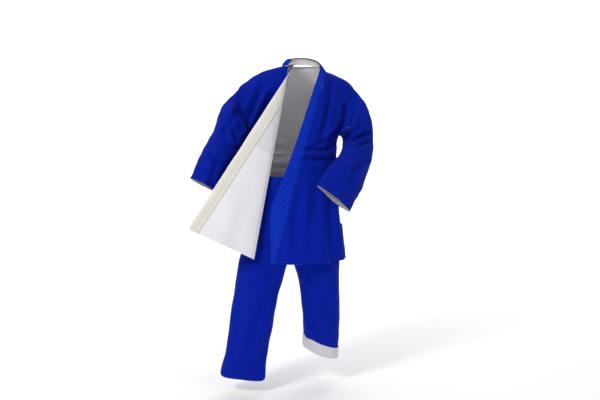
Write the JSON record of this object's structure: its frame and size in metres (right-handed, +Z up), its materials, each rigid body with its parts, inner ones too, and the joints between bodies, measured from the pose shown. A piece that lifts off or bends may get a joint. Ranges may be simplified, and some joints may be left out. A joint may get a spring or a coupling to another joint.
{
  "type": "judo uniform",
  "caption": "Reversible judo uniform, worn open: a jacket with its right front folded back, and trousers with one leg turned up.",
  "frame": {"origin": "centre of the wearer's waist, inside the trousers' waistband", "axes": "+Z up, -Y the way the wearer faces, +X to the wearer's left"},
  "size_m": [0.8131, 0.4134, 1.4446],
  "materials": {
    "blue_cloth": "matt woven cotton",
    "band_cloth": "stitched cotton band",
    "white_cloth": "matt woven cotton",
    "cream_band": "stitched cotton band",
    "elastic": "ribbed elastic"
  },
  "bodies": {
    "seat": {"seat_right": "blue_cloth", "seat_left": "blue_cloth", "seat_lining": "white_cloth", "waistband": "blue_cloth", "waistband_facing": "white_cloth", "waist_elastic": "elastic", "crotch_gusset": "blue_cloth"},
    "jacket": {"back_panel_right": "blue_cloth", "back_panel_left": "blue_cloth", "back_skirt_right": "blue_cloth", "back_skirt_left": "blue_cloth", "back_lining_right": "white_cloth", "back_lining_left": "white_cloth", "right_front_panel": "blue_cloth", "right_front_skirt": "blue_cloth", "right_front_lining": "white_cloth", "left_front_panel": "blue_cloth", "left_front_skirt": "blue_cloth", "left_front_lining": "white_cloth", "right_vent_patch": "white_cloth", "left_vent_patch": "white_cloth", "back_hem_facing": "white_cloth", "collar_neck_band": "band_cloth"},
    "right_flap": {"right_flap_panel": "blue_cloth", "right_flap_skirt": "blue_cloth", "right_flap_lining": "white_cloth", "right_lapel_band": "cream_band"},
    "left_lapel": {"left_lapel_band": "band_cloth", "left_lapel_lining": "white_cloth"},
    "right_upper_arm": {"right_upper_sleeve": "blue_cloth", "right_upper_sleeve_lining": "white_cloth"},
    "right_forearm": {"right_lower_sleeve": "blue_cloth", "right_lower_sleeve_lining": "white_cloth", "right_cuff_hem": "white_cloth"},
    "right_upper_leg": {"right_thigh": "blue_cloth", "right_thigh_lining": "white_cloth"},
    "right_lower_leg": {"right_shin": "blue_cloth", "right_shin_lining": "white_cloth", "right_leg_hem": "white_cloth"},
    "left_upper_arm": {"left_upper_sleeve": "blue_cloth", "left_upper_sleeve_lining": "white_cloth"},
    "left_forearm": {"left_lower_sleeve": "blue_cloth", "left_lower_sleeve_lining": "white_cloth", "left_cuff_hem": "white_cloth"},
    "left_upper_leg": {"left_thigh": "blue_cloth", "left_thigh_lining": "white_cloth"},
    "left_lower_leg": {"left_shin": "blue_cloth", "left_shin_lining": "white_cloth", "left_turned_cuff": "white_cloth"}
  },
  "joints": [
    {"name": "jacket_lift", "type": "slide", "parent": "seat", "child": "jacket", "axis": [0, 0, 1], "range_m": [0, 0.45]},
    {"name": "right_front_fold", "type": "hinge", "parent": "jacket", "child": "right_flap", "pos_m": [-0.159, -0.127, -0.308], "axis": [0.18, 0.1004, 0.9785], "range_deg": [0, 80]},
    {"name": "left_lapel_fold", "type": "hinge", "parent": "jacket", "child": "left_lapel", "pos_m": [-0.056, -0.158, -0.299], "axis": [0.2531, 0.1559, 0.9548], "range_deg": [0, 80]},
    {"name": "right_sleeve_raise", "type": "hinge", "parent": "jacket", "child": "right_upper_arm", "pos_m": [-0.2372, 0.016, 0.4535], "axis": [0, 1, 0], "range_deg": [0, 40]},
    {"name": "left_sleeve_raise", "type": "hinge", "parent": "jacket", "child": "left_upper_arm", "pos_m": [0.2872, 0.016, 0.4535], "axis": [0, -1, 0], "range_deg": [0, 35]},
    {"name": "right_elbow_bend", "type": "hinge", "parent": "right_upper_arm", "child": "right_forearm", "pos_m": [-0.3365, -0.041, 0.2371], "axis": [0, 0.943, -0.3328], "range_deg": [0, 40]},
    {"name": "left_elbow_bend", "type": "hinge", "parent": "left_upper_arm", "child": "left_forearm", "pos_m": [0.3125, -0.0191, 0.2346], "axis": [-0.9985, 0, 0.0555], "range_deg": [0, 35]},
    {"name": "right_leg_swing", "type": "hinge", "parent": "seat", "child": "right_upper_leg", "pos_m": [-0.12, -0.1078, -0.3277], "axis": [-1, 0, 0], "range_deg": [0, 30]},
    {"name": "left_leg_swing", "type": "hinge", "parent": "seat", "child": "left_upper_leg", "pos_m": [0.123, -0.1068, -0.3277], "axis": [-1, 0, 0], "range_deg": [0, 30]},
    {"name": "right_knee_bend", "type": "hinge", "parent": "right_upper_leg", "child": "right_lower_leg", "pos_m": [-0.174, 0.0245, -0.6115], "axis": [0.985, 0, -0.1726], "range_deg": [0, 45]},
    {"name": "left_knee_bend", "type": "hinge", "parent": "left_upper_leg", "child": "left_lower_leg", "pos_m": [0.141, 0.114, -0.561], "axis": [0.9987, 0, 0.051], "range_deg": [0, 45]}
  ]
}
